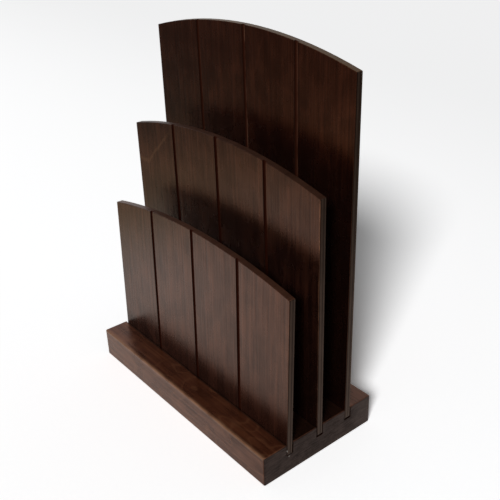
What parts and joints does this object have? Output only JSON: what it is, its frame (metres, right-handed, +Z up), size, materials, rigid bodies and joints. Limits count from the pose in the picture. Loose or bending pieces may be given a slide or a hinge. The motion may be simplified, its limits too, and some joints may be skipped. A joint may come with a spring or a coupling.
{
  "type": "periodical display rack",
  "caption": "Tabletop wooden rack with a slotted base board and arched, grooved panels of rising height that hold magazines upright.",
  "frame": {"origin": "middle of the base board's underside, where it meets the table", "axes": "+Z up, +X along the base, -Y towards the grooved fronts of the panels"},
  "size_m": [0.252, 0.1234, 0.339],
  "materials": {
    "base_wood": "walnut stain under satin lacquer on solid wood",
    "panel_plywood": "walnut stain under satin lacquer on birch plywood"
  },
  "bodies": {
    "root": {"base_board": "base_wood", "front_panel": "panel_plywood", "middle_panel": "panel_plywood", "rear_panel": "panel_plywood"}
  },
  "joints": []
}
